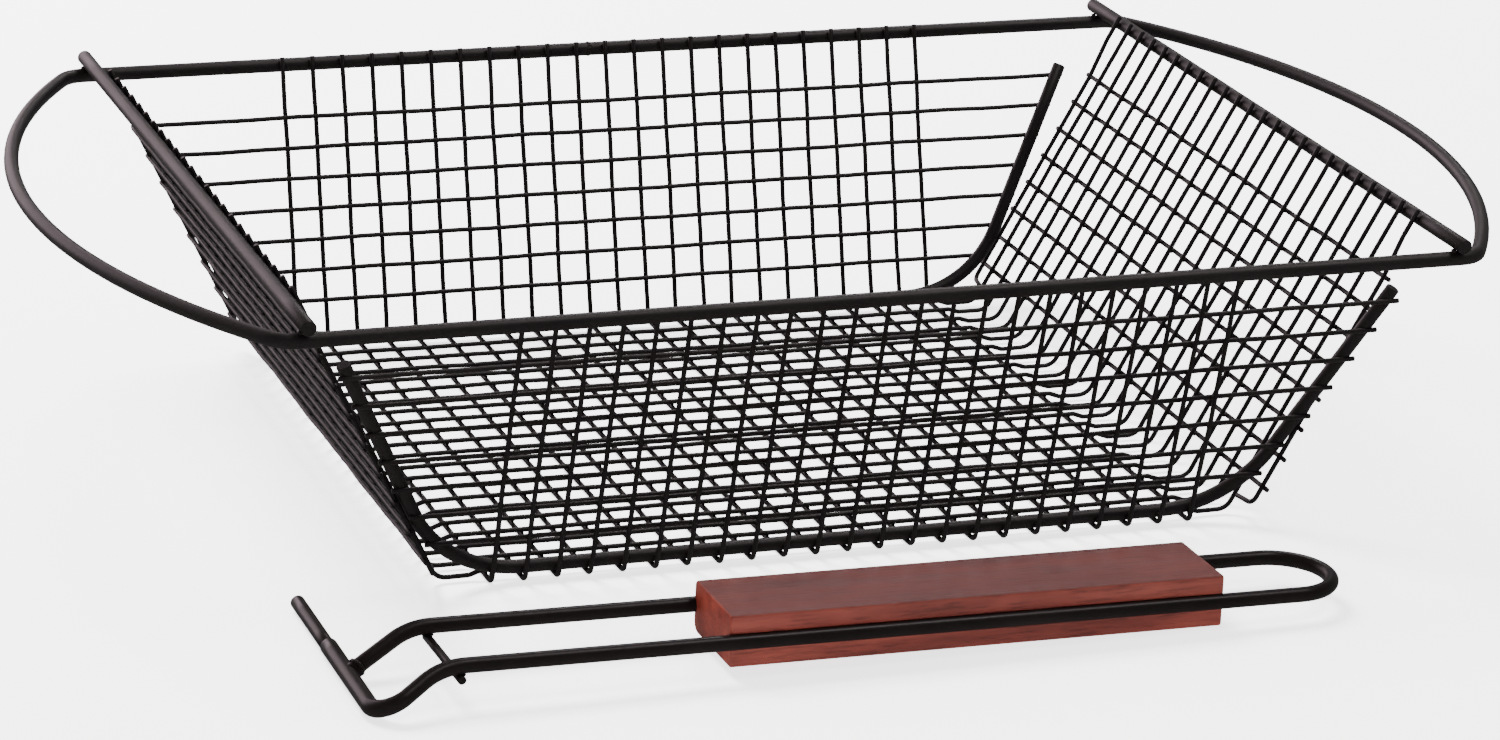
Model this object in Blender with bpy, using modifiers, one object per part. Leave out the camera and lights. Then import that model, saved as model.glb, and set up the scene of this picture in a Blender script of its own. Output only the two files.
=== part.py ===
"""Grill basket of welded wire with a lift-off handle that has a wooden grip.

Metres, +X along the basket, +Y to the back, +Z up. The basket stands on its cross wires at z = 0,
the middle one at the origin. The handle lies on the same ground in front of it.
"""
import math

import bmesh
import bpy
from mathutils import Matrix, Vector

MM = 0.001
GAP = 0.3 * MM                  # clearance left wherever two separate pieces touch

# Stock sizes, as radii
ROD_R = 2.25 * MM               # rim, cross rods and handle
FRAME_R = 2.1 * MM              # wall frame rod
WIRE_R = 0.7 * MM               # mesh wire
WIRE_FLAT = WIRE_R * math.cos(math.pi / 8)      # the same to a flat of its eight sides
BAR_R = 2.5 * MM                # the handle rod's bar, slightly swollen
PIN_R = 1.25 * MM               # stop pin
HOOK_R = 2.1 * MM               # hook rod

# Rim and cross rods
RIM_X = 2.6 * MM                # they are welded on a little to the right of the mesh's middle
RIM_Y = 137.9 * MM              # centre line of the long rods
RIM_Z = 88.0 * MM
BOW_R = 250 * MM                # bow arc
BOW_CENTRE_X = -26 * MM         # its centre lies this far on the other side of the origin
RIM_CORNER_R = 9 * MM
CROSS_X = 176.2 * MM
CROSS_HALF = 142.5 * MM

# Cross wires: down the back wall, under the base, up the front wall
CROSS_WIRES = 23
CROSS_PITCH = 10 * MM
BACK_TOP_Z = RIM_Z + ROD_R + 1.0 * MM
FRONT_TOP_Z = RIM_Z + 0.5 * MM
WALL_TOP_Y = 134.6 * MM         # wire centre at the height of the rim
BASE_Y = 110.4 * MM             # where the wall line meets the base line
CROSS_BEND_R = 3 * MM

# Wall frames
FRAME_Z = 3.8 * MM              # bottom run
FRAME_INSET = 3.9 * MM          # frame plane to cross-wire plane
FRAME_X = 124.0 * MM            # where the leg line meets the bottom run
FRAME_TOP_Z = 76.5 * MM
BACK_LEG_IN = 2.8 * MM          # the back frame's right leg stands this far in at its top
FRAME_BEND_R = 38 * MM
RAIL_OFFSET = 2.15 * MM         # rail centre outside the frame plane
RAIL_Z0 = 15 * MM
RAIL_STEP_Z = 9.62 * MM
RAILS = 7
RAIL_PAST = 3.5 * MM
RAIL_SHORT = 2.0 * MM           # for the rail that would meet the end ladder's edge wires

# Long wires: up an end panel, along the base, up the other end panel
LONG_WIRES = 24                 # positions across; the outer two are edge wires
LONG_PITCH = 9.94 * MM
LONG_Z = 2 * WIRE_R + GAP + WIRE_R
LONG_DROP_X = (111.5 * MM, 115 * MM)
LONG_END_Z = 1.2 * MM
PANEL_X = 124.8 * MM            # where the panel line meets the base line
LONG_BEND_R = 5 * MM
LONG_TOP_Z = RIM_Z + 3 * ROD_R + GAP + 1.0 * MM

# End ladders
RUNGS = 8
RUNG_Z0 = 11 * MM
RUNG_STEP_Z = 9.2 * MM
RUNG_PAST = 2.8 * MM
EDGE_OFFSET = 1.2 * MM          # edge wires sit this far outside the panel plane
FOLD_Z = 6.0 * MM
FOLD_R = 2.2 * MM

# Handle, in its own axes: u along the shafts from the bar, v to the back, w up
HANDLE_AT = Vector((-169.4 * MM, -179.9 * MM, BAR_R))
HANDLE_YAW = math.radians(0.86)
SHAFT_HALF = 15.2 * MM          # shaft centre to the handle's centre line
BAR_BACK = 29.2 * MM
HOOK_BACK = 64.7 * MM
BAR_SPREAD = 10.6 * MM          # the front shaft's line meets the bar this much further out
BAR_SKEW = 0.0234               # the bar's slope against square
BAR_BEND_R = 6.5 * MM
FOOT_V = 8 * MM                 # where the back shaft's line meets the bar
FOOT_CLEAR = 3.8 * MM           # from the bar's centre line to the back shaft's end
KINK_U = 19.8 * MM
KINK_R = 22 * MM
SHAFT_RISE = 9.0 * MM
LOOP_U = 293.9 * MM
GRIP_U = 103.2 * MM
GRIP_L = 150.5 * MM
GRIP_W = 30 * MM
GRIP_T = 15.4 * MM
GRIP_EDGE = 1.6 * MM
PIN_U = 25.0 * MM
PIN_FRONT = 2.5 * MM            # stop pin past the front shaft's centre line
LIFT_AXIS = Vector((0.0, -0.4, 0.9165)).normalized()    # clears the rim above the hook rod

PAINT = ("black_paint", (0.016, 0.014, 0.013), 0.0, 0.42)
WOOD = ("stained_wood", (0.23, 0.062, 0.05), 0.0, 0.5)


def clear_scene():
    for obj in list(bpy.data.objects):
        bpy.data.objects.remove(obj, do_unlink=True)


def new_collection(name):
    made = bpy.data.collections.new(name)
    bpy.context.scene.collection.children.link(made)
    return made


def new_material(node, look):
    label, colour, metallic, roughness = look
    mat = bpy.data.materials.new(f"{node}_{label}")
    mat.use_nodes = True
    shader = mat.node_tree.nodes["Principled BSDF"]
    shader.inputs["Base Color"].default_value = (*colour, 1.0)
    shader.inputs["Metallic"].default_value = metallic
    shader.inputs["Roughness"].default_value = roughness
    mat.diffuse_color = (*colour, 1.0)
    return mat


def finish_node(obj, look):
    obj.data.materials.clear()
    obj.data.materials.append(new_material(obj.name, look))
    PARTS.objects.link(obj)
    return obj


def rounded_path(corners, radii, steps):
    """Points of a polyline whose inner corners are replaced by arcs."""
    points = [Vector(corners[0])]
    for before, corner, after, radius in zip(corners, corners[1:], corners[2:], radii):
        corner = Vector(corner)
        back = (Vector(before) - corner).normalized()
        ahead = (Vector(after) - corner).normalized()
        half = back.angle(ahead) / 2
        if radius <= 0 or half > math.radians(89.5):
            points.append(corner)
            continue
        centre = corner + (back + ahead).normalized() * (radius / math.sin(half))
        first = corner + back * (radius / math.tan(half)) - centre
        axis = ahead.cross(back).normalized()
        turn = math.pi - 2 * half
        for step in range(steps + 1):
            points.append(centre + Matrix.Rotation(turn * step / steps, 3, axis) @ first)
    points.append(Vector(corners[-1]))
    return points


def rod_curve(name, points, radius, sides=2, cyclic=False, flat_down=False, swell=()):
    """A round rod along a polyline: a bevelled curve with filled caps. Swell scales the first points."""
    curve = bpy.data.curves.new(name, "CURVE")
    curve.dimensions = "3D"
    curve.bevel_depth = radius
    curve.bevel_resolution = sides
    curve.use_fill_caps = True
    curve.render_resolution_u = 0
    spline = curve.splines.new("POLY")
    spline.points.add(len(points) - 1)
    if flat_down:
        curve.twist_mode = "Z_UP"
    for slot, point in zip(spline.points, points):
        slot.co = (*point, 1.0)
        slot.tilt = math.pi / 8 if flat_down else 0.0
    for slot, factor in zip(spline.points, swell):
        slot.radius = factor
    spline.use_cyclic_u = cyclic
    spline.use_smooth = True
    return curve


def rod_node(name, points, radius, sides=2, cyclic=False, swell=()):
    obj = bpy.data.objects.new(name, rod_curve(name, points, radius, sides, cyclic, swell=swell))
    weld = obj.modifiers.new("CapWeld", "WELD")
    weld.merge_threshold = 0.00001
    return finish_node(obj, PAINT)


def rod_mesh(name, points, radius, sides=2):
    """The same rod as a closed mesh object, for unions and cuts."""
    holder = bpy.data.objects.new(name + "_path", rod_curve(name, points, radius, sides))
    bpy.context.scene.collection.objects.link(holder)
    bpy.context.view_layer.update()
    graph = bpy.context.evaluated_depsgraph_get()
    mesh = bpy.data.meshes.new_from_object(holder.evaluated_get(graph))
    mesh.name = name
    shape = bmesh.new()
    shape.from_mesh(mesh)
    bmesh.ops.remove_doubles(shape, verts=shape.verts, dist=0.00001)
    bmesh.ops.recalc_face_normals(shape, faces=shape.faces)
    for face in shape.faces:
        face.smooth = len(face.verts) == 4
    shape.to_mesh(mesh)
    shape.free()
    obj = bpy.data.objects.new(name, mesh)
    obj.matrix_world = holder.matrix_world.copy()
    bpy.data.objects.remove(holder, do_unlink=True)
    return obj


def hide_helper(obj):
    obj.hide_render = True
    obj.display_type = "WIRE"
    CUTTERS.objects.link(obj)
    return obj


def join_rods(body, others):
    """Union each other rod into the body with live Booleans."""
    for other in others:
        hide_helper(other)
        weld = body.modifiers.new(other.name, "BOOLEAN")
        weld.operation = "UNION"
        weld.solver = "EXACT"
        weld.object = other


def wall_lean():
    """Sideways run of the wall per unit of height, and its cosine."""
    lean = (WALL_TOP_Y - BASE_Y) / (RIM_Z - WIRE_R)
    return lean, math.cos(math.atan(lean))


def panel_lean(side):
    """The same for an end panel, whose wires pass just inside the cross rod."""
    rise = RIM_Z + 2 * ROD_R + GAP - LONG_END_Z
    clear = ROD_R + GAP + WIRE_R
    lean = 0.5
    for _ in range(20):
        lean = (CROSS_X + side * RIM_X - clear * math.hypot(1.0, lean) - PANEL_X) / rise
    return lean, 1.0 / math.hypot(1.0, lean)


def panel_x(side, height, outward=0.0):
    """X of an end panel's wires at a height, or of a line parallel to them."""
    lean, cosine = panel_lean(side)
    return side * (PANEL_X + lean * (height - LONG_END_Z) + outward / cosine)


def build_rim():
    corners = [Vector((RIM_X, RIM_Y, RIM_Z))]
    arc_steps = 14
    half_turn = math.asin(RIM_Y / BOW_R)
    outline = []
    for side in (1, -1):
        arc = []
        for step in range(arc_steps + 1):
            angle = half_turn * (1 - 2 * step / arc_steps)
            arc.append(Vector((RIM_X + side * (BOW_CENTRE_X + BOW_R * math.cos(angle)),
                               side * BOW_R * math.sin(angle), RIM_Z)))
        outline.extend(arc)
    corners.extend(outline)
    corners.append(Vector((RIM_X, RIM_Y, RIM_Z)))
    sharp = {0, arc_steps, arc_steps + 1, 2 * arc_steps + 1}
    radii = [RIM_CORNER_R if index in sharp else 0 for index in range(len(outline))]
    points = rounded_path(corners, radii, 5)[:-1]
    rod_node("rim_loop", points, ROD_R, sides=3, cyclic=True)


def build_cross_rods():
    height = RIM_Z + 2 * ROD_R + GAP
    for name, side in (("cross_rod_left", -1), ("cross_rod_right", 1)):
        x = RIM_X + side * CROSS_X
        ends = [Vector((x, CROSS_HALF, height)), Vector((x, -CROSS_HALF, height))]
        rod_node(name, ends, ROD_R, sides=4)


def build_cross_wires():
    lean, _ = wall_lean()
    back_y, front_y = (BASE_Y + lean * (top - WIRE_R) for top in (BACK_TOP_Z, FRONT_TOP_Z))
    corners = [(0, back_y, BACK_TOP_Z), (0, BASE_Y, WIRE_FLAT),
               (0, -BASE_Y, WIRE_FLAT), (0, -front_y, FRONT_TOP_Z)]
    path = rounded_path(corners, [CROSS_BEND_R] * 2, 2)
    shared = rod_curve("cross_wire", path, WIRE_R, flat_down=True)
    for index in range(CROSS_WIRES):
        name = f"cross_wire_{index + 1:02d}"
        obj = bpy.data.objects.new(name, shared.copy())
        obj.location.x = (index - (CROSS_WIRES - 1) / 2) * CROSS_PITCH
        weld = obj.modifiers.new("CapWeld", "WELD")
        weld.merge_threshold = 0.00001
        finish_node(obj, PAINT)
    bpy.data.curves.remove(shared)


def frame_plane_y(height, outward=0.0):
    """Distance from the middle to the wall frame's plane, or to one parallel to it."""
    lean, cosine = wall_lean()
    return BASE_Y + lean * (height - WIRE_R) + (outward - FRAME_INSET) / cosine


def frame_path(back):
    """A wall frame's rod, its legs parallel to the end panels except one."""
    corners = []
    for side, order in ((-1, (FRAME_TOP_Z, FRAME_Z)), (1, (FRAME_Z, FRAME_TOP_Z))):
        lean, _ = panel_lean(side)
        if back > 0 and side > 0:
            lean -= BACK_LEG_IN / (FRAME_TOP_Z - FRAME_Z)
        for z in order:
            x = side * (FRAME_X + lean * (z - FRAME_Z))
            corners.append(Vector((x, back * frame_plane_y(z), z)))
    return rounded_path(corners, [FRAME_BEND_R] * 2, 8)


def x_at(path, side, height):
    """X of a frame's leg at a height."""
    leg = [point for point in path if side * point.x > 0]
    if side < 0:
        leg.reverse()
    for low, high in zip(leg, leg[1:]):
        if low.z <= height <= high.z:
            return low.x + (height - low.z) / (high.z - low.z) * (high.x - low.x)
    return leg[-1].x


def build_wall_frames():
    for name, back in (("wall_frame_back", 1), ("wall_frame_front", -1)):
        path = frame_path(back)
        body = rod_mesh(name, path, FRAME_R, sides=3)
        rails = []
        for index in range(RAILS):
            height = RAIL_Z0 + index * RAIL_STEP_Z
            past = RAIL_SHORT if index == 1 else RAIL_PAST
            across = back * frame_plane_y(height, RAIL_OFFSET)
            ends = [Vector((x_at(path, side, height) + side * past, across, height))
                    for side in (-1, 1)]
            rails.append(rod_mesh(f"{name}_rail_{index + 1}", ends, WIRE_R))
        join_rods(body, rails)
        finish_node(body, PAINT)


def long_wire_y(index):
    return (index - (LONG_WIRES - 1) / 2) * LONG_PITCH


def build_long_wires():
    corners = []
    for side in (-1, 1):
        half = [(panel_x(side, LONG_TOP_Z), 0, LONG_TOP_Z),
                (panel_x(side, LONG_END_Z), 0, LONG_END_Z),
                (side * LONG_DROP_X[1], 0, LONG_END_Z), (side * LONG_DROP_X[0], 0, LONG_Z)]
        corners.extend(half if side < 0 else reversed(half))
    radii = [LONG_BEND_R, 0, 0, 0, 0, LONG_BEND_R]
    path = rounded_path(corners, radii, 2)
    shared = rod_curve("long_wire", path, WIRE_R)
    for index in range(1, LONG_WIRES - 1):
        obj = bpy.data.objects.new(f"long_wire_{index:02d}", shared.copy())
        obj.location.y = long_wire_y(index)
        weld = obj.modifiers.new("CapWeld", "WELD")
        weld.merge_threshold = 0.00001
        finish_node(obj, PAINT)
    bpy.data.curves.remove(shared)


def build_end_ladders():
    edge = long_wire_y(LONG_WIRES - 1)
    inner = long_wire_y(LONG_WIRES - 2) + 2 * WIRE_R + GAP
    rung_top = RUNG_Z0 + (RUNGS - 1) * RUNG_STEP_Z
    for name, side in (("end_ladder_left", -1), ("end_ladder_right", 1)):
        edges = []
        for label, back in (("back", 1), ("front", -1)):
            corners = [Vector((panel_x(side, LONG_TOP_Z), back * edge, LONG_TOP_Z)),
                       Vector((panel_x(side, RIM_Z), back * edge, RIM_Z)),
                       Vector((panel_x(side, rung_top, EDGE_OFFSET), back * edge, rung_top)),
                       Vector((panel_x(side, FOLD_Z, EDGE_OFFSET), back * edge, FOLD_Z)),
                       Vector((panel_x(side, FOLD_Z, 0), back * inner, FOLD_Z))]
            path = rounded_path(corners, [0, 0, FOLD_R], 4)
            edges.append(rod_mesh(f"{name}_edge_{label}", path, WIRE_R))
        rungs = []
        for index in range(RUNGS):
            height = RUNG_Z0 + index * RUNG_STEP_Z
            out = panel_x(side, height, 2 * WIRE_R + GAP)
            reach = edge + RUNG_PAST
            ends = [Vector((out, reach, height)), Vector((out, -reach, height))]
            rungs.append(rod_mesh(f"{name}_rung_{index + 1}", ends, WIRE_R))
        body = edges[0]
        body.name = name
        join_rods(body, rungs + edges[1:])
        finish_node(body, PAINT)


def handle_tilt():
    run = GRIP_U + GRIP_L - KINK_U
    return math.atan((BAR_R + SHAFT_RISE - GRIP_T / 2) / run)


def on_handle(u, v, w):
    """Handle coordinates to the world; w is the height above the shafts' plane."""
    height = GRIP_T / 2 + (GRIP_U + GRIP_L - u) * math.tan(handle_tilt()) + w
    return near_bar(u, v, height - BAR_R)


def near_bar(u, v, w):
    """Handle coordinates with w measured from the bar's centre line."""
    flat = Matrix.Rotation(HANDLE_YAW, 3, "Z") @ Vector((u, v, 0))
    return HANDLE_AT + flat + Vector((0, 0, w))


def on_bar(v, w=0.0):
    """A point along the bar, which stands a little out of square to the shafts."""
    return near_bar(BAR_SKEW * v, v, w)


def hang_on_lift_axis(pieces):
    """Parents the handle's pieces to an empty that stands on the axis along which it lifts off."""
    axis = bpy.data.objects.new("handle_lift_axis", None)
    axis.location = HANDLE_AT
    axis.rotation_euler = LIFT_AXIS.to_track_quat("Z", "Y").to_euler()
    PARTS.objects.link(axis)
    bpy.context.view_layer.update()
    for obj in pieces:
        obj.parent = axis
        obj.matrix_parent_inverse = axis.matrix_world.inverted()


def build_handle():
    loop_r = SHAFT_HALF
    loop_start = LOOP_U - loop_r
    corners = [on_bar(BAR_BACK), on_bar(-SHAFT_HALF - BAR_SPREAD),
               on_handle(KINK_U, -SHAFT_HALF, 0), on_handle(loop_start, -SHAFT_HALF, 0)]
    front = rounded_path(corners, [BAR_BEND_R, KINK_R], 6)
    loop = []
    loop_steps = 12
    for step in range(1, loop_steps):
        angle = math.pi * step / loop_steps - math.pi / 2
        loop.append(on_handle(loop_start + loop_r * math.cos(angle), loop_r * math.sin(angle), 0))
    knee = on_handle(KINK_U, SHAFT_HALF, 0)
    foot = on_bar(FOOT_V)
    foot += (knee - foot).normalized() * FOOT_CLEAR
    back = rounded_path([on_handle(loop_start, SHAFT_HALF, 0), knee, foot], [KINK_R], 6)
    bar_points = 8
    fading = [1 + (BAR_R / ROD_R - 1) * (1 - step / bar_points) for step in range(bar_points)]
    swell = [BAR_R / ROD_R] + fading
    rod = rod_node("handle_rod", front + loop + back, ROD_R, sides=3, swell=swell)

    hook_ends = [on_bar(v, HOOK_R - BAR_R) for v in (BAR_BACK + GAP, HOOK_BACK)]
    hook = rod_node("hook_rod", hook_ends, HOOK_R, sides=3)

    below = -(ROD_R + GAP + PIN_R)
    pin_ends = [on_handle(PIN_U, v, below) for v in (SHAFT_HALF + PIN_R, -SHAFT_HALF - PIN_FRONT)]
    pin = rod_node("stop_pin", pin_ends, PIN_R, sides=2)
    return [rod, hook, pin]


def build_grip():
    bpy.ops.mesh.primitive_cube_add(size=1)
    grip = bpy.context.object
    grip.name = "wood_grip"
    grip.scale = (GRIP_L, GRIP_W, GRIP_T)
    bpy.ops.object.transform_apply(location=False, rotation=False, scale=True)
    for owner in list(grip.users_collection):
        owner.objects.unlink(grip)
    grip.location = on_handle(GRIP_U + GRIP_L / 2, 0, 0)
    grip.rotation_euler = (0, handle_tilt(), HANDLE_YAW)
    edge = grip.modifiers.new("EasedEdges", "BEVEL")
    edge.width = GRIP_EDGE
    edge.segments = 3
    edge.limit_method = "ANGLE"
    for label, side in (("back", 1), ("front", -1)):
        past = 10 * MM
        ends = [on_handle(GRIP_U - past, side * SHAFT_HALF, 0),
                on_handle(GRIP_U + GRIP_L + past, side * SHAFT_HALF, 0)]
        cutter = hide_helper(rod_mesh(f"groove_{label}", ends, ROD_R + GAP, sides=5))
        groove = grip.modifiers.new(f"Groove_{label}", "BOOLEAN")
        groove.operation = "DIFFERENCE"
        groove.solver = "EXACT"
        groove.object = cutter
    return finish_node(grip, WOOD)


clear_scene()
PARTS = new_collection("grill_basket")
CUTTERS = new_collection("weld_and_groove_helpers")
build_rim()
build_cross_rods()
build_cross_wires()
build_wall_frames()
build_long_wires()
build_end_ladders()
hang_on_lift_axis(build_handle() + [build_grip()])
bpy.context.view_layer.update()
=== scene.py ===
"""Looks of the grill basket: smooth coated wire with its welds, and a stained wooden grip."""

import math

import bmesh
import bpy
import numpy as np
from mathutils import Matrix, Vector


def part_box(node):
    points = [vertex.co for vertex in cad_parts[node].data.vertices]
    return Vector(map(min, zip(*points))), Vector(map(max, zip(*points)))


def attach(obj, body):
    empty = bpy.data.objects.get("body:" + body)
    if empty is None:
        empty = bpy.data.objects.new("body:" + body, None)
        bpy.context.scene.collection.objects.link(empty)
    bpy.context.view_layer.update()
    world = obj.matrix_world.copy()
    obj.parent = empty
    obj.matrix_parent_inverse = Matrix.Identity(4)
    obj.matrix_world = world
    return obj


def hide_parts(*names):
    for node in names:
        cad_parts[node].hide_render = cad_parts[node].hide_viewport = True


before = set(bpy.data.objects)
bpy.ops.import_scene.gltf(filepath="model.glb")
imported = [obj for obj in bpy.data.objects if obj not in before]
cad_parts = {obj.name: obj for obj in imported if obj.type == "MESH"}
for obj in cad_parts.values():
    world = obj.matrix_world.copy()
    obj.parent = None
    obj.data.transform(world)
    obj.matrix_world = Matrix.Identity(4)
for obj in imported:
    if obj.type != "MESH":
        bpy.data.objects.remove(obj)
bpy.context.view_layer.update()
MM = 0.001
RANDOM = np.random.RandomState(7)

# Stock radii and the shapes of bends; every position below comes from the CAD boxes
ROD_R = 2.25 * MM
FRAME_R = 2.1 * MM
WIRE_R = 0.7 * MM
COATED_R = 0.76 * MM            # with the baked coating
BAR_R = 2.5 * MM
PIN_R = 1.25 * MM
HOOK_R = 2.1 * MM
BOW_R = 250 * MM
RIM_CORNER_R = 9 * MM
SEAM_X = -5 * MM                # where the rim's two ends are welded
SEAM_SINK = 0.35 * MM
FRAME_BEND_R = 38 * MM
WALL_FOOT_Y = 110.4 * MM        # where a cross wire's wall line meets its base line
PANEL_FOOT_X = 124.8 * MM       # the same for a long wire
FRAME_FOOT_X = 124.0 * MM       # and for a wall frame's rod
RAILS = 7
RAIL_STEP = 9.62 * MM
RUNGS = 8
RUNG_STEP = 9.2 * MM
WAVER = 0.09 * MM               # how far a hand-straightened wire strays
WAVER_FADE = 0.02               # length at each end over which it dies away
WAVER_SLOW = 90                 # the two wave numbers of the stray, in radians a metre
WAVER_FAST = 210
CROSS_CORNER_R = 3 * MM
PANEL_CORNER_R = 5 * MM
DROP_CORNER_R = 2 * MM
DROP_X = (111.5 * MM, 115 * MM)  # a long wire steps down from the base to its panel between these
EDGE_BENDS = [4 * MM, 4 * MM, 2.6 * MM]

# Points along a rod, and sides round it
ROD_SPACING = 20 * MM
SHORT_SPACING = 9 * MM
HANDLE_SPACING = 6 * MM
WIRE_SPACING = 5 * MM
HANDLE_SIDES = 24
ROD_SIDES = 20
FRAME_SIDES = 18
PIN_SIDES = 16
WIRE_SIDES = 12

# Half sizes of the weld beads: width, length and height
SEAM_BEAD = (1.1 * MM, 1.0 * MM, 0.6 * MM)
CROSS_ROD_BEAD = (0.9 * MM, 1.6 * MM, 0.7 * MM)
RAIL_END_BEAD = (0.75 * MM, 1.3 * MM, 0.7 * MM)
RUNG_END_BEAD = (0.7 * MM, 0.9 * MM, 0.7 * MM)
CROSSING_BEAD = (0.6 * MM, 0.6 * MM, 0.5 * MM)
RAIL_BEAD = (0.5 * MM, 0.66 * MM, 0.66 * MM)
RUNG_BEAD = (0.5 * MM, 0.66 * MM, 0.6 * MM)
FRAME_FOOT_BEAD = (0.8 * MM, 0.9 * MM, 0.8 * MM)
RIM_BEAD = (0.8 * MM, 1.2 * MM, 0.6 * MM)
SHAFT_BEAD = (0.9 * MM, 1.1 * MM, 0.8 * MM)
PIN_BEAD = (0.7 * MM, 1.1 * MM, 0.6 * MM)


# ---------------------------------------------------------------- materials

def nodes_of(name):
    mat = bpy.data.materials.new(name)
    mat.use_nodes = True
    tree = mat.node_tree
    return mat, tree, tree.nodes["Principled BSDF"]


def add(tree, kind, **values):
    node = tree.nodes.new(kind)
    for key, value in values.items():
        if hasattr(node, key):
            setattr(node, key, value)
        else:
            node.inputs[key].default_value = value
    return node


def ramp(tree, source, stops):
    node = tree.nodes.new("ShaderNodeValToRGB")
    while len(node.color_ramp.elements) < len(stops):
        node.color_ramp.elements.new(0.5)
    for element, (place, colour) in zip(node.color_ramp.elements, stops):
        element.position = place
        element.color = (*colour, 1.0) if len(colour) == 3 else colour
    tree.links.new(source, node.inputs["Fac"])
    return node


def span(tree, source, low, high):
    node = tree.nodes.new("ShaderNodeMapRange")
    node.inputs["To Min"].default_value = low
    node.inputs["To Max"].default_value = high
    tree.links.new(source, node.inputs["Value"])
    return node.outputs["Result"]


def coated_steel(name, base, rough, ior, bump):
    """Baked black coating: fine orange peel, uneven gloss and a faint dusty bloom."""
    mat, tree, shader = nodes_of(name)
    place = tree.nodes.new("ShaderNodeTexCoord").outputs["Object"]
    cloud = add(tree, "ShaderNodeTexNoise", Scale=38.0, Detail=3.0, Roughness=0.6)
    peel = add(tree, "ShaderNodeTexNoise", Scale=600.0, Detail=2.0, Roughness=0.5)
    for node in (cloud, peel):
        tree.links.new(place, node.inputs["Vector"])
    tint = ramp(tree, cloud.outputs["Fac"], [(0.3, base), (0.75, tuple(c * 1.7 for c in base))])
    tree.links.new(tint.outputs["Color"], shader.inputs["Base Color"])
    gloss = span(tree, cloud.outputs["Fac"], rough * 0.9, rough * 1.12)
    tree.links.new(gloss, shader.inputs["Roughness"])
    shader.inputs["IOR"].default_value = ior
    relief = add(tree, "ShaderNodeBump", Strength=bump, Distance=0.00012)
    tree.links.new(peel.outputs["Fac"], relief.inputs["Height"])
    tree.links.new(relief.outputs["Normal"], shader.inputs["Normal"])
    return mat


def stained_wood(name, along):
    """Reddish stained hardwood: long streaks and short pores along the grip, satin lacquer, and painted
    shade that makes the upward faces darker and browner than the sides.
    """
    mat, tree, shader = nodes_of(name)
    place = tree.nodes.new("ShaderNodeTexCoord").outputs["Object"]
    turned = add(tree, "ShaderNodeMapping")
    turned.inputs["Rotation"].default_value = (0.0, 0.0, -along)
    tree.links.new(place, turned.inputs["Vector"])

    def stretched(scale, detail, ratio):
        grain = add(tree, "ShaderNodeMapping")
        grain.inputs["Scale"].default_value = (ratio, 1.0, 1.0)
        tree.links.new(turned.outputs["Vector"], grain.inputs["Vector"])
        noise = add(tree, "ShaderNodeTexNoise", Scale=scale, Detail=detail, Roughness=0.62)
        tree.links.new(grain.outputs["Vector"], noise.inputs["Vector"])
        return noise.outputs["Fac"]

    streak = stretched(150.0, 5.0, 0.09)
    pore = stretched(1500.0, 2.0, 0.07)
    blotch = stretched(45.0, 3.0, 0.5)
    side = ramp(tree, streak, [(0.28, (0.072, 0.0075, 0.0034)), (0.5, (0.125, 0.0140, 0.0062)),
                               (0.78, (0.190, 0.0280, 0.0125))])
    # Painted shade: upward faces get this darker, browner ramp instead of the side ramp, standing in for the
    # weaker light on the grip's top.
    top = ramp(tree, streak, [(0.28, (0.046, 0.0085, 0.0065)), (0.5, (0.068, 0.0125, 0.0095)),
                              (0.78, (0.095, 0.021, 0.0155))])
    # Painted-shade mask: the object-space normal's Z blends from the side colour to the darker top colour on
    # faces that point up.
    facing = tree.nodes.new("ShaderNodeSeparateXYZ")
    tree.links.new(tree.nodes["Texture Coordinate"].outputs["Normal"], facing.inputs["Vector"])
    upward = add(tree, "ShaderNodeMapRange")
    upward.inputs["From Min"].default_value = 0.55
    upward.inputs["From Max"].default_value = 0.9
    tree.links.new(facing.outputs["Z"], upward.inputs["Value"])
    wood = add(tree, "ShaderNodeMix", data_type="RGBA")
    tree.links.new(upward.outputs["Result"], wood.inputs["Factor"])
    tree.links.new(side.outputs["Color"], wood.inputs[6])
    tree.links.new(top.outputs["Color"], wood.inputs[7])
    shade = ramp(tree, blotch, [(0.35, (0.66, 0.64, 0.66)), (0.62, (1.0, 1.0, 1.0))])
    dark = ramp(tree, pore, [(0.34, (0.55, 0.5, 0.5)), (0.47, (1.0, 1.0, 1.0))])
    mixed = add(tree, "ShaderNodeMix", data_type="RGBA", blend_type="MULTIPLY")
    mixed.inputs["Factor"].default_value = 1.0
    tree.links.new(wood.outputs[2], mixed.inputs[6])
    tree.links.new(shade.outputs["Color"], mixed.inputs[7])
    final = add(tree, "ShaderNodeMix", data_type="RGBA", blend_type="MULTIPLY")
    final.inputs["Factor"].default_value = 0.8
    tree.links.new(mixed.outputs[2], final.inputs[6])
    tree.links.new(dark.outputs["Color"], final.inputs[7])
    tree.links.new(final.outputs[2], shader.inputs["Base Color"])
    tree.links.new(span(tree, streak, 0.42, 0.62), shader.inputs["Roughness"])
    shader.inputs["Specular IOR Level"].default_value = 0.45
    relief = add(tree, "ShaderNodeBump", Strength=0.35, Distance=0.0002)
    tree.links.new(pore, relief.inputs["Height"])
    tree.links.new(relief.outputs["Normal"], shader.inputs["Normal"])
    return mat


ROD_COAT = coated_steel("rod_coating", (0.0026, 0.0018, 0.0018), 0.50, 1.38, 0.10)
HANDLE_COAT = coated_steel("handle_coating", (0.0034, 0.0024, 0.0023), 0.36, 1.24, 0.10)
FRAME_COAT = coated_steel("frame_coating", (0.0026, 0.0018, 0.0018), 0.50, 1.36, 0.10)
WIRE_COAT = coated_steel("wire_coating", (0.0020, 0.0013, 0.0013), 0.50, 1.38, 0.06)
WELD_COAT = coated_steel("weld_coating", (0.0022, 0.0017, 0.0017), 0.55, 1.32, 0.20)


# ---------------------------------------------------------------- shapes

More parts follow.
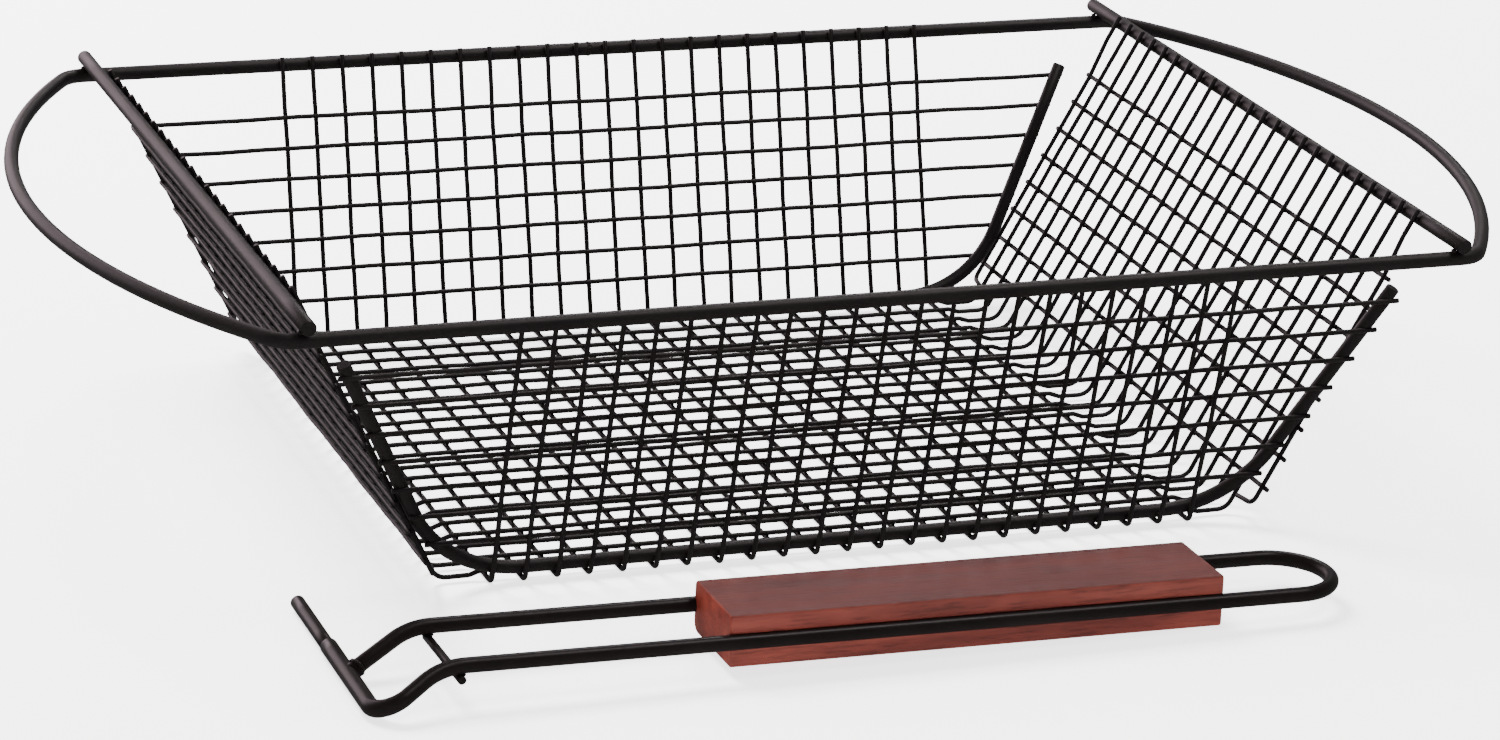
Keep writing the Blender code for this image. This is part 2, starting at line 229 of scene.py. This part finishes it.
def rounded_path(corners, radii, steps):
    """A polyline whose inner corners are replaced by arcs."""
    points = [Vector(corners[0])]
    for before, corner, after, radius in zip(corners, corners[1:], corners[2:], radii):
        corner = Vector(corner)
        back = (Vector(before) - corner).normalized()
        ahead = (Vector(after) - corner).normalized()
        half = back.angle(ahead) / 2
        if radius <= 0 or half > math.radians(89.5):
            points.append(corner)
            continue
        centre = corner + (back + ahead).normalized() * (radius / math.sin(half))
        first = corner + back * (radius / math.tan(half)) - centre
        axis = ahead.cross(back).normalized()
        turn = math.pi - 2 * half
        for step in range(steps + 1):
            points.append(centre + Matrix.Rotation(turn * step / steps, 3, axis) @ first)
    points.append(Vector(corners[-1]))
    return points


def resample(points, spacing):
    """Adds points on the long straight runs, so that they can waver a little."""
    out = [points[0]]
    for a, b in zip(points, points[1:]):
        count = max(1, int((b - a).length / spacing))
        out.extend(a.lerp(b, k / count) for k in range(1, count + 1))
    return out


def waver(points, amount):
    """Moves each point a little, smoothly along the wire, keeping the ends."""
    if amount <= 0:
        return points
    phase = RANDOM.uniform(0, 2 * math.pi, 6)
    length = 0.0
    total = sum((b - a).length for a, b in zip(points, points[1:]))
    out = [points[0].copy()]
    for a, b in zip(points, points[1:]):
        length += (b - a).length
        fade = min(1.0, length / WAVER_FADE, (total - length) / WAVER_FADE)
        shift = Vector([amount * fade * (math.sin(length * WAVER_SLOW + phase[k])
                                         + 0.6 * math.sin(length * WAVER_FAST + phase[k + 3]))
                        for k in range(3)])
        out.append(b + shift)
    return out


def sweep(shape, points, radius, sides, cyclic=False, blunt=0.18):
    """Adds a round rod along the points to a bmesh, its cut ends slightly eased.

    The radius is one number, or one for each point.
    """
    count = len(points)
    radii = list(radius) if isinstance(radius, (list, tuple)) else [radius] * count
    pairs = range(count) if cyclic else range(count - 1)
    runs = [(points[(k + 1) % count] - points[k]).normalized() for k in pairs]
    tangents = []
    for k in range(count):
        before = runs[k - 1] if (cyclic or k > 0) else runs[0]
        after = runs[k] if k < len(runs) else runs[-1]
        tangents.append((before + after).normalized())
    side = tangents[0].orthogonal().normalized()
    rings = []
    for k, (point, tangent) in enumerate(zip(points, tangents)):
        side = (side - tangent * side.dot(tangent)).normalized()
        other = tangent.cross(side)
        bend = 1.0
        if 0 < k < count - 1 or cyclic:
            half = max(0.5, runs[k - 1].dot(runs[k % len(runs)]))
            bend = 1.0 / math.sqrt((1 + half) / 2)
        ring = []
        for step in range(sides):
            angle = 2 * math.pi * step / sides
            spoke = side * math.cos(angle) + other * math.sin(angle)
            ring.append(point + spoke * radii[k] * min(bend, 1.04))
        rings.append(ring)
    if not cyclic:
        tips = []
        for ring, point, outward, end_r in ((rings[0], points[0], -tangents[0], radii[0]),
                                            (rings[-1], points[-1], tangents[-1], radii[-1])):
            tips.append([point + (corner - point) * (1 - blunt) for corner in ring])
            for k, corner in enumerate(ring):
                ring[k] = corner - outward * end_r * blunt
        rings = [tips[0]] + rings + [tips[1]]
    made = [[shape.verts.new(corner) for corner in ring] for ring in rings]
    links = list(zip(made, made[1:]))
    if cyclic:
        start = made[0]
        last = rings[-1]
        twist = min(range(sides), key=lambda k: (rings[0][k] - last[0]).length)
        links.append((made[-1], start[twist:] + start[:twist]))
    for low, high in links:
        for k in range(sides):
            face = shape.faces.new((low[k], low[(k + 1) % sides], high[(k + 1) % sides], high[k]))
            face.smooth = True
    if not cyclic:
        shape.faces.new(list(reversed(made[0])))
        shape.faces.new(made[-1])


def bead(shape, centre, along, width, length, height):
    """Adds a weld bead: a lumpy flattened ball, long in one direction."""
    along = Vector(along).normalized()
    turn = along.to_track_quat("X", "Z").to_matrix().to_4x4()
    size = Matrix.Diagonal((length, width, height, 1.0))
    made = bmesh.ops.create_icosphere(shape, subdivisions=1, radius=1.0,
                                      matrix=Matrix.Translation(centre) @ turn @ size)
    for vert in made["verts"]:
        vert.co += (vert.co - centre) * RANDOM.uniform(-0.12, 0.12)
    for face in {f for vert in made["verts"] for f in vert.link_faces}:
        face.smooth = True


def piece(name, shape, material, body, replaced=()):
    mesh = bpy.data.meshes.new(name)
    bmesh.ops.recalc_face_normals(shape, faces=shape.faces)
    shape.to_mesh(mesh)
    shape.free()
    obj = bpy.data.objects.new(name, mesh)
    bpy.context.scene.collection.objects.link(obj)
    mesh.materials.append(material)
    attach(obj, body)
    if replaced:
        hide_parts(*replaced)
    return obj


# ---------------------------------------------------------------- where things are

CROSS = [f"cross_wire_{k:02d}" for k in range(1, 24)]
LONG = [f"long_wire_{k:02d}" for k in range(1, 23)]


def middle(node):
    low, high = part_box(node)
    return (low + high) / 2


def lean_of(radius, foot, low_z, reach, top_z):
    """Lean of a rod that rises from its foot to a square-cut end of the given outermost corner."""
    lean = 0.5
    for _ in range(12):
        cosine = 1 / math.hypot(1, lean)
        lean = (reach - radius * cosine - foot) / (top_z - radius * lean * cosine - low_z)
    return lean


rim_low, rim_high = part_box("rim_loop")
RIM_X = (rim_low.x + rim_high.x) / 2
RIM_Z = (rim_low.z + rim_high.z) / 2
RIM_Y = rim_high.y - ROD_R
ROD_LOW, ROD_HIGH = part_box("cross_rod_right")
CROSS_ROD_X = (ROD_LOW.x + ROD_HIGH.x) / 2 - RIM_X
CROSS_ROD_Z = (ROD_LOW.z + ROD_HIGH.z) / 2

cross_low, cross_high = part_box(CROSS[11])
BASE_Z = cross_low.z + WIRE_R
WALL_LEAN = lean_of(WIRE_R, WALL_FOOT_Y, BASE_Z, cross_high.y, cross_high.z)
WALL_COS = 1 / math.hypot(1, WALL_LEAN)

long_low, long_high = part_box(LONG[10])
LONG_END_Z = long_low.z + WIRE_R
LONG_Z = LONG_END_Z + 1.2 * MM   # a long wire lies higher over the base than at its ends
LEAN = {1: lean_of(WIRE_R, PANEL_FOOT_X, LONG_END_Z, long_high.x, long_high.z),
        -1: lean_of(WIRE_R, PANEL_FOOT_X, LONG_END_Z, -long_low.x, long_high.z)}
COSINE = {side: 1 / math.hypot(1, LEAN[side]) for side in LEAN}
LONG_TOP_Z = long_high.z - WIRE_R * LEAN[1] * COSINE[1]

frame_low, frame_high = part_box("wall_frame_back")
FRAME_Z = frame_low.z + FRAME_R
FRAME_TOP_Z = frame_high.z - FRAME_R * LEAN[1] * COSINE[1]
ladder_low, ladder_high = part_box("end_ladder_right")


def wall_y(height, outward=0.0):
    return WALL_FOOT_Y + WALL_LEAN * (height - BASE_Z) + outward / WALL_COS


def panel_x(side, height, outward=0.0):
    return side * (PANEL_FOOT_X + LEAN[side] * (height - LONG_END_Z) + outward / COSINE[side])


# The names in IN and OUT are distances out from a wall's or panel's wires, so a negative one is inward
FRAME_IN = -3.9 * MM
RAIL_IN = FRAME_IN + 2.15 * MM
RAIL_Z = [FRAME_Z + 11.2 * MM + k * RAIL_STEP for k in range(RAILS)]
RAIL_PAST = 3.5 * MM
RAIL_SHORT = 2.0 * MM           # for the rail that would meet the end ladder's edge wires
RUNG_Z = [BASE_Z + 10.35 * MM + k * RUNG_STEP for k in range(RUNGS)]
RUNG_OUT = 1.7 * MM
EDGE_OUT = 1.2 * MM
EDGE_Y = ladder_high.y - 2.8 * MM


def build_rim():
    shape = bmesh.new()
    bow_x = rim_high.x - RIM_X - ROD_R - BOW_R
    half = math.asin(RIM_Y / BOW_R)
    steps = 40
    outline = []
    for side in (1, -1):
        for step in range(steps + 1):
            angle = half * (1 - 2 * step / steps)
            across = bow_x + BOW_R * math.cos(angle)
            outline.append(Vector((RIM_X + side * across, side * BOW_R * math.sin(angle), RIM_Z)))
    start = Vector((RIM_X, RIM_Y, RIM_Z))
    sharp = {0, steps, steps + 1, 2 * steps + 1}
    radii = [RIM_CORNER_R if k in sharp else 0 for k in range(len(outline))]
    path = rounded_path([start] + outline + [start], radii, 10)[:-1]
    sweep(shape, resample(path, ROD_SPACING), ROD_R, ROD_SIDES, cyclic=True)
    seam = Vector((SEAM_X, RIM_Y, RIM_Z))
    beads = 11
    for k in range(beads):
        turn = 2 * math.pi * k / beads
        around = Vector((0, math.cos(turn), math.sin(turn)))
        bead(shape, seam + around * (ROD_R - SEAM_SINK), (0, -around.z, around.y), *SEAM_BEAD)
    piece("rim", shape, ROD_COAT, "basket", ["rim_loop"])


def build_cross_rods():
    for side, name in ((-1, "cross_rod_left"), (1, "cross_rod_right")):
        shape = bmesh.new()
        x = RIM_X + side * CROSS_ROD_X
        ends = [Vector((x, ROD_HIGH.y, CROSS_ROD_Z)), Vector((x, ROD_LOW.y, CROSS_ROD_Z))]
        sweep(shape, resample(ends, ROD_SPACING), ROD_R, ROD_SIDES, blunt=0.14)
        for back in (1, -1):
            for out in (-1, 1):
                spot = Vector((x + out * 1.4 * MM, back * RIM_Y, (RIM_Z + CROSS_ROD_Z) / 2))
                bead(shape, spot, (0.2, 1, 0), *CROSS_ROD_BEAD)
        piece(name + "_coated", shape, ROD_COAT, "basket", [name])


def build_cross_wires():
    for name in CROSS:
        shape = bmesh.new()
        low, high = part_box(name)
        x = (low.x + high.x) / 2
        back_y = high.y - WIRE_R * WALL_COS
        front_y = -low.y - WIRE_R * WALL_COS
        corners = [(x, back_y, BASE_Z + (back_y - WALL_FOOT_Y) / WALL_LEAN), (x, WALL_FOOT_Y, BASE_Z),
                   (x, -WALL_FOOT_Y, BASE_Z), (x, -front_y, BASE_Z + (front_y - WALL_FOOT_Y) / WALL_LEAN)]
        path = waver(resample(rounded_path(corners, [CROSS_CORNER_R] * 2, 8), WIRE_SPACING), WAVER)
        sweep(shape, path, COATED_R, WIRE_SIDES)
        piece(name + "_coated", shape, WIRE_COAT, "basket", [name])


def build_long_wires():
    bends = [PANEL_CORNER_R] + [DROP_CORNER_R] * 4 + [PANEL_CORNER_R]
    for name in LONG:
        shape = bmesh.new()
        y = middle(name).y
        corners = []
        for side in (-1, 1):
            half = [(panel_x(side, LONG_TOP_Z), y, LONG_TOP_Z), (side * PANEL_FOOT_X, y, LONG_END_Z),
                    (side * DROP_X[1], y, LONG_END_Z), (side * DROP_X[0], y, LONG_Z)]
            corners.extend(half if side < 0 else reversed(half))
        path = rounded_path(corners, bends, 7)
        sweep(shape, waver(resample(path, WIRE_SPACING), WAVER), COATED_R, WIRE_SIDES)
        piece(name + "_coated", shape, WIRE_COAT, "basket", [name])


def frame_path(back):
    low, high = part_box("wall_frame_back" if back > 0 else "wall_frame_front")
    corners = []
    for side, heights in ((-1, (FRAME_TOP_Z, FRAME_Z)), (1, (FRAME_Z, FRAME_TOP_Z))):
        reach = high.x if side > 0 else -low.x
        top_x = reach - FRAME_R * COSINE[side]
        lean = (top_x - FRAME_FOOT_X) / (FRAME_TOP_Z - FRAME_Z)
        for z in heights:
            x = side * (top_x - lean * (FRAME_TOP_Z - z))
            corners.append(Vector((x, back * wall_y(z, FRAME_IN), z)))
    return rounded_path(corners, [FRAME_BEND_R] * 2, 20)


def x_at(path, side, height):
    """X of a frame's leg at a height."""
    leg = [point for point in path if side * point.x > 0]
    if side < 0:
        leg.reverse()
    for low, high in zip(leg, leg[1:]):
        if low.z <= height <= high.z:
            return low.x + (height - low.z) / (high.z - low.z) * (high.x - low.x)
    return leg[-1].x


def build_wall_frames():
    for back, name in ((1, "wall_frame_back"), (-1, "wall_frame_front")):
        shape = bmesh.new()
        path = frame_path(back)
        sweep(shape, resample(path, ROD_SPACING), FRAME_R, FRAME_SIDES, blunt=0.12)
        for index, height in enumerate(RAIL_Z):
            past = RAIL_SHORT if index == 1 else RAIL_PAST
            y = back * wall_y(height, RAIL_IN)
            feet = {side: x_at(path, side, height) for side in (-1, 1)}
            ends = [Vector((feet[side] + side * past, y, height)) for side in (-1, 1)]
            sweep(shape, waver(resample(ends, WIRE_SPACING), WAVER), COATED_R, WIRE_SIDES)
            for side in (-1, 1):
                spot = Vector((feet[side], back * wall_y(height, RAIL_IN - 0.5 * MM), height))
                bead(shape, spot, (1, 0, 0), *RAIL_END_BEAD)
        piece(name + "_coated", shape, FRAME_COAT, "basket", [name])


def build_end_ladders():
    inner = middle(LONG[-1]).y + 2 * WIRE_R + 0.3 * MM
    fold_z = ladder_low.z + WIRE_R
    for side, name in ((-1, "end_ladder_left"), (1, "end_ladder_right")):
        shape = bmesh.new()
        for back in (1, -1):
            corners = [(panel_x(side, LONG_TOP_Z), back * EDGE_Y, LONG_TOP_Z),
                       (panel_x(side, RIM_Z), back * EDGE_Y, RIM_Z),
                       (panel_x(side, RUNG_Z[-1], EDGE_OUT), back * EDGE_Y, RUNG_Z[-1]),
                       (panel_x(side, fold_z, EDGE_OUT), back * EDGE_Y, fold_z),
                       (panel_x(side, fold_z), back * inner, fold_z)]
            path = rounded_path(corners, EDGE_BENDS, 6)
            sweep(shape, resample(path, SHORT_SPACING), COATED_R, WIRE_SIDES)
        for height in RUNG_Z:
            x = panel_x(side, height, RUNG_OUT)
            ends = [Vector((x, s * ladder_high.y, height)) for s in (1, -1)]
            sweep(shape, waver(resample(ends, WIRE_SPACING), WAVER), COATED_R, WIRE_SIDES)
            for s in (-1, 1):
                spot = Vector((panel_x(side, height, RUNG_OUT - 0.4 * MM), s * EDGE_Y, height))
                bead(shape, spot, (0, 1, 0), *RUNG_END_BEAD)
        piece(name + "_coated", shape, WIRE_COAT, "basket", [name])


def build_spot_welds():
    """The small fused lumps where wire crosses wire or rod."""
    shape = bmesh.new()
    ys = [middle(name).y for name in LONG]
    xs = [middle(name).x for name in CROSS]
    for x in xs:
        for y in ys:
            bead(shape, Vector((x, y, (BASE_Z + LONG_Z) / 2)), (1, 0, 0), *CROSSING_BEAD)
        for side in (1, -1):
            for height in RAIL_Z:
                spot = Vector((x, side * wall_y(height, RAIL_IN / 2), height))
                bead(shape, spot, (1, 0, 0), *RAIL_BEAD)
            foot = Vector((x, side * wall_y(FRAME_Z, FRAME_IN * 0.36), FRAME_Z - 0.6 * MM))
            bead(shape, foot, (0, 0, 1), *FRAME_FOOT_BEAD)
            rim = Vector((x, side * (RIM_Y - ROD_R - 0.05 * MM), RIM_Z))
            bead(shape, rim, (0, 0, 1), *RIM_BEAD)
    for y in ys + [EDGE_Y, -EDGE_Y]:
        for side in (1, -1):
            for height in RUNG_Z:
                spot = Vector((panel_x(side, height, RUNG_OUT / 2), y, height))
                bead(shape, spot, (0, 1, 0), *RUNG_BEAD)
            spot = Vector((RIM_X + side * (CROSS_ROD_X - ROD_R - 0.05 * MM), y, CROSS_ROD_Z + 0.2 * MM))
            bead(shape, spot, (0, 0, 1), *RIM_BEAD)
    piece("spot_welds", shape, WELD_COAT, "basket")


# ---------------------------------------------------------------- handle

YAW = math.radians(0.86)
SHAFT_HALF = 15.2 * MM
BAR_SPREAD = 10.6 * MM
BAR_SKEW = 0.0234
BAR_BACK = 29.2 * MM
BAR_FADE = 9 * MM               # the bar's extra thickness is gone this far along a shaft
HOOK_BACK = 64.7 * MM
LOOP_U = 293.9 * MM
PIN_U = 25 * MM
PIN_FRONT = 2.5 * MM
GRIP_L = 150.5 * MM
GRIP_W = 30 * MM
GRIP_T = 15.4 * MM
GRIP_U = 103.2 * MM
BAR_BEND_R = 6.5 * MM
FOOT_V = 8 * MM                 # where the back shaft meets the bar
FOOT_IN = 1 * MM                # how far its end stops short of the bar's middle
KINK_U = 19.8 * MM
KINK_R = 22 * MM
SHAFT_RISE = 9.0 * MM
TILT = math.atan((BAR_R + SHAFT_RISE - GRIP_T / 2) / (GRIP_U + GRIP_L - KINK_U))
ALONG = Vector((math.cos(YAW), math.sin(YAW), 0))
BACK = Vector((-math.sin(YAW), math.cos(YAW), 0))
UP = Vector((0, 0, 1))
GRIP_MID = middle("wood_grip")
ORIGIN = GRIP_MID - ALONG * (GRIP_U + GRIP_L / 2)
ORIGIN.z = 0.0


def at(u, v, w):
    """Handle coordinates to the row frame; w is the height above the ground."""
    return ORIGIN + ALONG * u + BACK * v + UP * w


def shaft_z(u):
    return GRIP_T / 2 + (GRIP_U + GRIP_L - u) * math.tan(TILT)


def on_shaft(u, v, w=0.0):
    return at(u, v, shaft_z(u) + w)


def on_bar(v, w=BAR_R):
    return at(BAR_SKEW * v, v, w)


def build_handle():
    shape = bmesh.new()
    loop_u = LOOP_U - SHAFT_HALF
    corners = [on_bar(BAR_BACK), on_bar(-SHAFT_HALF - BAR_SPREAD),
               on_shaft(KINK_U, -SHAFT_HALF), on_shaft(loop_u, -SHAFT_HALF)]
    front = rounded_path(corners, [BAR_BEND_R, KINK_R], 16)
    loop = []
    loop_steps = 32
    for step in range(1, loop_steps):
        angle = math.pi * step / loop_steps - math.pi / 2
        loop.append(on_shaft(loop_u + SHAFT_HALF * math.cos(angle), SHAFT_HALF * math.sin(angle)))
    knee = on_shaft(KINK_U, SHAFT_HALF)
    foot = on_bar(FOOT_V)
    climb = (knee - foot).normalized()
    back = rounded_path([on_shaft(loop_u, SHAFT_HALF), knee, foot + climb * FOOT_IN], [KINK_R], 16)
    path = resample(front + loop + back, HANDLE_SPACING)
    radii = []
    for index, point in enumerate(path):
        ahead = max(0.0, (point - path[0]).dot(ALONG)) / BAR_FADE
        swell = max(0.0, 1 - ahead) if index < len(path) / 2 else 0.0
        radii.append(ROD_R + (BAR_R - ROD_R) * swell)
    sweep(shape, path, radii, HANDLE_SIDES, blunt=0.14)
    beads = 14
    over = climb.cross(BACK).normalized()
    if over.z < 0:
        over.negate()
    beside = over.cross(climb)
    for k in range(beads):
        turn = 2 * math.pi * k / beads
        spoke = beside * math.cos(turn) + over * math.sin(turn)
        spot = foot + climb * (3.0 * MM + 0.5 * MM * abs(math.cos(turn))) + spoke * (ROD_R - 0.1 * MM)
        if spot.z > 0.5 * MM:
            bead(shape, spot, over * math.cos(turn) - beside * math.sin(turn), *SHAFT_BEAD)
    piece("handle_rod_coated", shape, HANDLE_COAT, "handle", ["handle_rod"])

    shape = bmesh.new()
    ends = [on_bar(BAR_BACK - 1.5 * MM, HOOK_R + 0.1 * MM), on_bar(HOOK_BACK, HOOK_R + 0.05 * MM)]
    sweep(shape, resample(ends, SHORT_SPACING), HOOK_R, HANDLE_SIDES, blunt=0.2)
    piece("hook_rod_coated", shape, HANDLE_COAT, "handle", ["hook_rod"])

    shape = bmesh.new()
    below = -(ROD_R + PIN_R)
    ends = [on_shaft(PIN_U, v, below) for v in (SHAFT_HALF + PIN_R, -SHAFT_HALF - PIN_FRONT)]
    sweep(shape, resample(ends, SHORT_SPACING), PIN_R, PIN_SIDES, blunt=0.2)
    for side in (1, -1):
        for out in (-1, 1):
            spot = on_shaft(PIN_U + out * 1.1 * MM, side * SHAFT_HALF, below + 1.0 * MM)
            bead(shape, spot, BACK, *PIN_BEAD)
    piece("stop_pin_coated", shape, HANDLE_COAT, "handle", ["stop_pin"])


def build_grip():
    """A block with eased edges and a round groove along each side for the shafts."""
    half_w = GRIP_W / 2
    half_t = GRIP_T / 2
    groove = ROD_R + 0.12 * MM
    sharp = 0.7 * MM
    top_back = 1.8 * MM
    low_back = 3.4 * MM
    depth = half_w - SHAFT_HALF
    open_half = math.sqrt(groove ** 2 - depth ** 2)
    corner_steps = 6
    groove_steps = 12
    flat_steps = 8
    profile = []

    def corner(side, up, edge):
        """Rounds one edge, going round the profile from the back to the top, front and base."""
        start = {(1, 1): 0.0, (-1, 1): 0.5, (-1, -1): 1.0, (1, -1): 1.5}[side, up] * math.pi
        for step in range(corner_steps + 1):
            angle = start + math.pi / 2 * step / corner_steps
            profile.append((side * (half_w - edge) + edge * math.cos(angle),
                            up * (half_t - edge) + edge * math.sin(angle)))

    def side_groove(side):
        first = math.atan2(-open_half, depth)
        for step in range(groove_steps + 1):
            angle = first - (2 * math.pi + 2 * first) * step / groove_steps
            profile.append((side * (SHAFT_HALF + groove * math.cos(angle)), side * groove * math.sin(angle)))

    side_groove(1)
    corner(1, 1, top_back)
    for k in range(1, flat_steps):
        profile.append((half_w - top_back - (GRIP_W - top_back - sharp) * k / flat_steps, half_t))
    corner(-1, 1, sharp)
    side_groove(-1)
    corner(-1, -1, sharp)
    for k in range(1, flat_steps):
        profile.append((-half_w + sharp + (GRIP_W - low_back - sharp) * k / flat_steps, -half_t))
    corner(1, -1, low_back)

    shape = bmesh.new()
    ease = 0.6 * MM
    reach = 2.2 * MM
    stations = []
    for step in range(corner_steps + 1):
        angle = math.pi / 2 * step / corner_steps
        stations.append((ease * (1 - math.sin(angle)), ease * (1 - math.cos(angle))))
    rows = list(reversed(stations))
    count = 24
    rows += [(ease + (GRIP_L - 2 * ease) * k / count, 0.0) for k in range(1, count)]
    rows += [(GRIP_L - u, inset) for u, inset in stations]
    rings = []
    for u, inset in rows:
        ring = []
        for v, w in profile:
            shrink_v = max(0.0, (abs(v) - (half_w - reach)) / reach)
            shrink_w = max(0.0, (abs(w) - (half_t - reach)) / reach)
            dv = -math.copysign(inset * shrink_v, v)
            dw = -math.copysign(inset * shrink_w, w)
            ring.append(shape.verts.new(on_shaft(GRIP_U + u, v + dv, w + dw)))
        rings.append(ring)
    size = len(profile)
    for low, high in zip(rings, rings[1:]):
        for k in range(size):
            face = shape.faces.new((low[k], low[(k + 1) % size], high[(k + 1) % size], high[k]))
            face.smooth = True
    for ring in (rings[0], rings[-1]):
        cap = shape.faces.new(ring)
        made = bmesh.ops.triangulate(shape, faces=[cap])
        for face in made["faces"]:
            face.smooth = False
    wood = stained_wood("stained_hardwood", YAW)
    obj = piece("wood_grip_stained", shape, wood, "handle", ["wood_grip"])
    soften = obj.modifiers.new("Weighted", "WEIGHTED_NORMAL")
    soften.keep_sharp = True


# ---------------------------------------------------------------- stage

FLOOR_SIZE = 12
FLOOR_Z = -0.0004               # just under the lowest piece
FLOOR_GLOW = 2.4
SKY_GLOW = 0.22
WHITE = (1.0, 1.0, 1.0)
# Name, place, aim, size, radiance, colour, and whether the rods mirror it
LAMPS = [
    ("back_left_softbox", (-0.75, 1.9, 0.6), (0, 0, 0.05), (2.0, 1.2), 3.3, (1.0, 0.80, 0.86), True),
    ("overhead_softbox", (-0.5, 1.25, 1.75), (0, 0, 0), (0.9, 0.9), 66.0, WHITE, False),
    ("back_right_softbox", (0.64, 1.2, 1.46), (0, 0, 0), (0.22, 0.7), 22.0, (1.0, 0.92, 0.94), True),
    ("overhead_strip", (0.72, -0.45, 1.85), (0, 0, 0), (0.5, 0.5), 22.0, (1.0, 0.90, 0.91), True),
    ("front_left_softbox", (-1.3, -1.5, 0.5), (0, -0.1, 0), (0.9, 0.6), 15.0, WHITE, False),
]
CAMERA_LENS = 124.67
CAMERA_SHIFT = (-0.0522, -0.0196)
CAMERA_PLACE = (-0.5209, -1.4516, 0.5422)
CAMERA_AIM = (0.0326, 0.0, 0.0279)
CAMERA_ROLL = 0.0453


def soft_light(name, place, aim, size, radiance, colour, mirrored):
    data = bpy.data.lights.new(name, "AREA")
    data.shape = "RECTANGLE"
    data.size = size[0]
    data.size_y = size[1]
    data.energy = radiance * math.pi * size[0] * size[1]
    data.color = colour
    lamp = bpy.data.objects.new(name, data)
    lamp.location = place
    lamp.visible_glossy = mirrored
    lamp.rotation_euler = (Vector(aim) - Vector(place)).to_track_quat("-Z", "Y").to_euler()
    bpy.context.scene.collection.objects.link(lamp)


def build_stage():
    bpy.ops.mesh.primitive_plane_add(size=FLOOR_SIZE, location=(0, 0, FLOOR_Z))
    floor = bpy.context.object
    floor.name = "studio_floor"
    mat, tree, shader = nodes_of("studio_floor_white")
    place = tree.nodes.new("ShaderNodeTexCoord").outputs["Object"]
    cloud = add(tree, "ShaderNodeTexNoise", Scale=6.0, Detail=3.0)
    tree.links.new(place, cloud.inputs["Vector"])
    tint = ramp(tree, cloud.outputs["Fac"], [(0.3, (0.90, 0.90, 0.90)), (0.7, (0.92, 0.92, 0.92))])
    tree.links.new(tint.outputs["Color"], shader.inputs["Base Color"])
    shader.inputs["Roughness"].default_value = 0.9
    shader.inputs["Specular IOR Level"].default_value = 0.1
    shader.inputs["Emission Color"].default_value = (1.0, 1.0, 1.0, 1.0)
    shader.inputs["Emission Strength"].default_value = FLOOR_GLOW
    floor.data.materials.append(mat)
    floor.visible_glossy = False    # so the black rods don't mirror it

    world = bpy.data.worlds.new("studio")
    world.use_nodes = True
    sky = world.node_tree.nodes["Background"]
    sky.inputs["Color"].default_value = (1.0, 0.99, 0.98, 1.0)
    sky.inputs["Strength"].default_value = SKY_GLOW
    bpy.context.scene.world = world

    for lamp in LAMPS:
        soft_light(*lamp)


def build_camera():
    data = bpy.data.cameras.new("photo_camera")
    data.sensor_width = 36.0
    data.lens = CAMERA_LENS
    data.shift_x, data.shift_y = CAMERA_SHIFT
    camera = bpy.data.objects.new("photo_camera", data)
    place = Vector(CAMERA_PLACE)
    ahead = (Vector(CAMERA_AIM) - place).normalized()
    right = ahead.cross(UP).normalized()
    up = right.cross(ahead)
    across = right * math.cos(CAMERA_ROLL) + up * math.sin(CAMERA_ROLL)
    upward = up * math.cos(CAMERA_ROLL) - right * math.sin(CAMERA_ROLL)
    turn = Matrix((across, upward, -ahead)).transposed()
    camera.matrix_world = Matrix.Translation(place) @ turn.to_4x4()
    bpy.context.scene.collection.objects.link(camera)
    bpy.context.scene.camera = camera


build_rim()
build_cross_rods()
build_cross_wires()
build_long_wires()
build_wall_frames()
build_end_ladders()
build_spot_welds()
build_handle()
build_grip()
build_stage()
build_camera()
